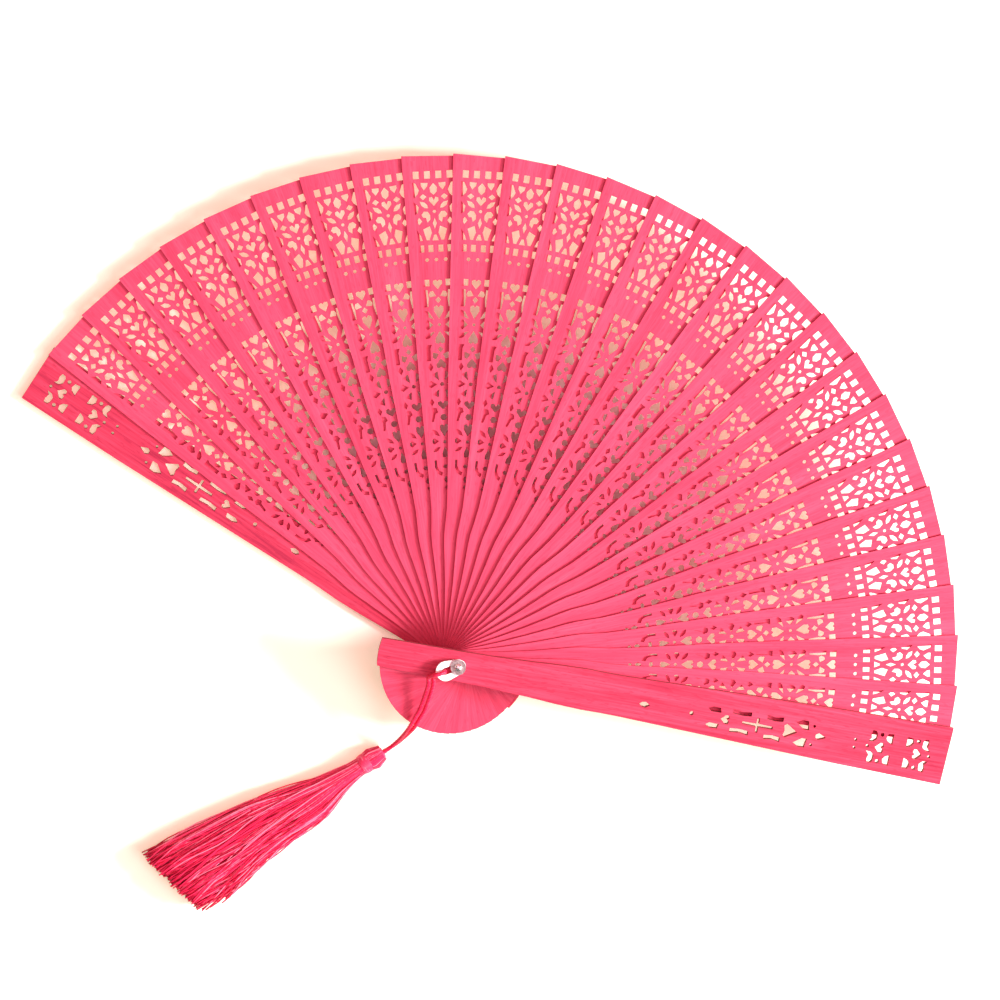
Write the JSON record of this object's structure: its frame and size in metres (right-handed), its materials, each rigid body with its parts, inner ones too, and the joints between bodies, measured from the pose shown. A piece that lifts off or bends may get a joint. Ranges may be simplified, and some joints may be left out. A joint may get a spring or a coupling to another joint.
{
  "type": "folding hand fan",
  "caption": "Brise folding hand fan: pierced thin-wood sticks dyed pink, riveted between two openwork guards, with a silky tassel on a doubled cord.",
  "frame": {"origin": "on the rivet's axis, in the plane of the back guard's underside", "axes": "+Y along the middle of the open spread, +Z from the back guard to the front guard along the rivet, +X towards the front guard"},
  "size_m": [0.3402, 0.2862, 0.0308],
  "materials": {
    "stick_wood": "satin",
    "guard_wood": "satin",
    "rivet_metal": "polished",
    "washer_metal": "satin",
    "link_white": "gloss",
    "cord_rayon": "satin",
    "tassel_rayon": "satin"
  },
  "bodies": {
    "front": {"front_guard": "guard_wood", "rivet_pin": "rivet_metal", "rivet_washer": "washer_metal", "back_washer": "washer_metal"},
    "back": {"back_guard": "guard_wood"},
    "rib_01": {"rib_01": "stick_wood"},
    "rib_02": {"rib_02": "stick_wood"},
    "rib_03": {"rib_03": "stick_wood"},
    "rib_04": {"rib_04": "stick_wood"},
    "rib_05": {"rib_05": "stick_wood"},
    "rib_06": {"rib_06": "stick_wood"},
    "rib_07": {"rib_07": "stick_wood"},
    "rib_08": {"rib_08": "stick_wood"},
    "rib_09": {"rib_09": "stick_wood"},
    "rib_10": {"rib_10": "stick_wood"},
    "rib_11": {"rib_11": "stick_wood"},
    "rib_12": {"rib_12": "stick_wood"},
    "rib_13": {"rib_13": "stick_wood"},
    "rib_14": {"rib_14": "stick_wood"},
    "rib_15": {"rib_15": "stick_wood"},
    "rib_16": {"rib_16": "stick_wood"},
    "rib_17": {"rib_17": "stick_wood"},
    "rib_18": {"rib_18": "stick_wood"},
    "rib_19": {"rib_19": "stick_wood"},
    "rib_20": {"rib_20": "stick_wood"},
    "rib_21": {"rib_21": "stick_wood"},
    "rib_22": {"rib_22": "stick_wood"},
    "rib_23": {"rib_23": "stick_wood"},
    "rib_24": {"rib_24": "stick_wood"},
    "rib_25": {"rib_25": "stick_wood"},
    "rib_26": {"rib_26": "stick_wood"},
    "tassel": {"cord_link": "link_white", "tassel_cord": "cord_rayon", "tassel_head": "tassel_rayon", "tassel_skirt": "tassel_rayon"}
  },
  "joints": [
    {"name": "fan_fold", "type": "hinge", "parent": "front", "child": "back", "pos_m": [0, 0, 0], "axis": [0, 0, -1], "range_deg": [0, 156.4]},
    {"name": "rib_01_fold", "type": "hinge", "parent": "front", "child": "rib_01", "pos_m": [0, 0, 0], "axis": [0, 0, -1], "range_deg": [0, 150.58]},
    {"name": "rib_02_fold", "type": "hinge", "parent": "front", "child": "rib_02", "pos_m": [0, 0, 0], "axis": [0, 0, -1], "range_deg": [0, 144.74]},
    {"name": "rib_03_fold", "type": "hinge", "parent": "front", "child": "rib_03", "pos_m": [0, 0, 0], "axis": [0, 0, -1], "range_deg": [0, 138.91]},
    {"name": "rib_04_fold", "type": "hinge", "parent": "front", "child": "rib_04", "pos_m": [0, 0, 0], "axis": [0, 0, -1], "range_deg": [0, 133.07]},
    {"name": "rib_05_fold", "type": "hinge", "parent": "front", "child": "rib_05", "pos_m": [0, 0, 0], "axis": [0, 0, -1], "range_deg": [0, 127.24]},
    {"name": "rib_06_fold", "type": "hinge", "parent": "front", "child": "rib_06", "pos_m": [0, 0, 0], "axis": [0, 0, -1], "range_deg": [0, 121.4]},
    {"name": "rib_07_fold", "type": "hinge", "parent": "front", "child": "rib_07", "pos_m": [0, 0, 0], "axis": [0, 0, -1], "range_deg": [0, 115.57]},
    {"name": "rib_08_fold", "type": "hinge", "parent": "front", "child": "rib_08", "pos_m": [0, 0, 0], "axis": [0, 0, -1], "range_deg": [0, 109.73]},
    {"name": "rib_09_fold", "type": "hinge", "parent": "front", "child": "rib_09", "pos_m": [0, 0, 0], "axis": [0, 0, -1], "range_deg": [0, 103.9]},
    {"name": "rib_10_fold", "type": "hinge", "parent": "front", "child": "rib_10", "pos_m": [0, 0, 0], "axis": [0, 0, -1], "range_deg": [0, 98.06]},
    {"name": "rib_11_fold", "type": "hinge", "parent": "front", "child": "rib_11", "pos_m": [0, 0, 0], "axis": [0, 0, -1], "range_deg": [0, 92.23]},
    {"name": "rib_12_fold", "type": "hinge", "parent": "front", "child": "rib_12", "pos_m": [0, 0, 0], "axis": [0, 0, -1], "range_deg": [0, 86.39]},
    {"name": "rib_13_fold", "type": "hinge", "parent": "front", "child": "rib_13", "pos_m": [0, 0, 0], "axis": [0, 0, -1], "range_deg": [0, 80.56]},
    {"name": "rib_14_fold", "type": "hinge", "parent": "front", "child": "rib_14", "pos_m": [0, 0, 0], "axis": [0, 0, -1], "range_deg": [0, 74.73]},
    {"name": "rib_15_fold", "type": "hinge", "parent": "front", "child": "rib_15", "pos_m": [0, 0, 0], "axis": [0, 0, -1], "range_deg": [0, 68.89]},
    {"name": "rib_16_fold", "type": "hinge", "parent": "front", "child": "rib_16", "pos_m": [0, 0, 0], "axis": [0, 0, -1], "range_deg": [0, 63.06]},
    {"name": "rib_17_fold", "type": "hinge", "parent": "front", "child": "rib_17", "pos_m": [0, 0, 0], "axis": [0, 0, -1], "range_deg": [0, 57.22]},
    {"name": "rib_18_fold", "type": "hinge", "parent": "front", "child": "rib_18", "pos_m": [0, 0, 0], "axis": [0, 0, -1], "range_deg": [0, 51.39]},
    {"name": "rib_19_fold", "type": "hinge", "parent": "front", "child": "rib_19", "pos_m": [0, 0, 0], "axis": [0, 0, -1], "range_deg": [0, 45.55]},
    {"name": "rib_20_fold", "type": "hinge", "parent": "front", "child": "rib_20", "pos_m": [0, 0, 0], "axis": [0, 0, -1], "range_deg": [0, 39.72]},
    {"name": "rib_21_fold", "type": "hinge", "parent": "front", "child": "rib_21", "pos_m": [0, 0, 0], "axis": [0, 0, -1], "range_deg": [0, 33.88]},
    {"name": "rib_22_fold", "type": "hinge", "parent": "front", "child": "rib_22", "pos_m": [0, 0, 0], "axis": [0, 0, -1], "range_deg": [0, 28.05]},
    {"name": "rib_23_fold", "type": "hinge", "parent": "front", "child": "rib_23", "pos_m": [0, 0, 0], "axis": [0, 0, -1], "range_deg": [0, 22.21]},
    {"name": "rib_24_fold", "type": "hinge", "parent": "front", "child": "rib_24", "pos_m": [0, 0, 0], "axis": [0, 0, -1], "range_deg": [0, 16.38]},
    {"name": "rib_25_fold", "type": "hinge", "parent": "front", "child": "rib_25", "pos_m": [0, 0, 0], "axis": [0, 0, -1], "range_deg": [0, 10.54]},
    {"name": "rib_26_fold", "type": "hinge", "parent": "front", "child": "rib_26", "pos_m": [0, 0, 0], "axis": [0, 0, -1], "range_deg": [0, 4.71]},
    {"name": "tassel_swing", "type": "hinge", "parent": "front", "child": "tassel", "pos_m": [0, 0, 0.0259], "axis": [0, 0, 1], "range_deg": [0, 20]}
  ],
  "couplings": [
    {"joint": "rib_01_fold", "follows": "fan_fold", "ratio": 0.96269},
    {"joint": "rib_02_fold", "follows": "fan_fold", "ratio": 0.92539},
    {"joint": "rib_03_fold", "follows": "fan_fold", "ratio": 0.88808},
    {"joint": "rib_04_fold", "follows": "fan_fold", "ratio": 0.85078},
    {"joint": "rib_05_fold", "follows": "fan_fold", "ratio": 0.81347},
    {"joint": "rib_06_fold", "follows": "fan_fold", "ratio": 0.77617},
    {"joint": "rib_07_fold", "follows": "fan_fold", "ratio": 0.73886},
    {"joint": "rib_08_fold", "follows": "fan_fold", "ratio": 0.70155},
    {"joint": "rib_09_fold", "follows": "fan_fold", "ratio": 0.66425},
    {"joint": "rib_10_fold", "follows": "fan_fold", "ratio": 0.62694},
    {"joint": "rib_11_fold", "follows": "fan_fold", "ratio": 0.58964},
    {"joint": "rib_12_fold", "follows": "fan_fold", "ratio": 0.55233},
    {"joint": "rib_13_fold", "follows": "fan_fold", "ratio": 0.51503},
    {"joint": "rib_14_fold", "follows": "fan_fold", "ratio": 0.47772},
    {"joint": "rib_15_fold", "follows": "fan_fold", "ratio": 0.44041},
    {"joint": "rib_16_fold", "follows": "fan_fold", "ratio": 0.40311},
    {"joint": "rib_17_fold", "follows": "fan_fold", "ratio": 0.3658},
    {"joint": "rib_18_fold", "follows": "fan_fold", "ratio": 0.3285},
    {"joint": "rib_19_fold", "follows": "fan_fold", "ratio": 0.29119},
    {"joint": "rib_20_fold", "follows": "fan_fold", "ratio": 0.25389},
    {"joint": "rib_21_fold", "follows": "fan_fold", "ratio": 0.21658},
    {"joint": "rib_22_fold", "follows": "fan_fold", "ratio": 0.17927},
    {"joint": "rib_23_fold", "follows": "fan_fold", "ratio": 0.14197},
    {"joint": "rib_24_fold", "follows": "fan_fold", "ratio": 0.10466},
    {"joint": "rib_25_fold", "follows": "fan_fold", "ratio": 0.067357},
    {"joint": "rib_26_fold", "follows": "fan_fold", "ratio": 0.030051}
  ]
}
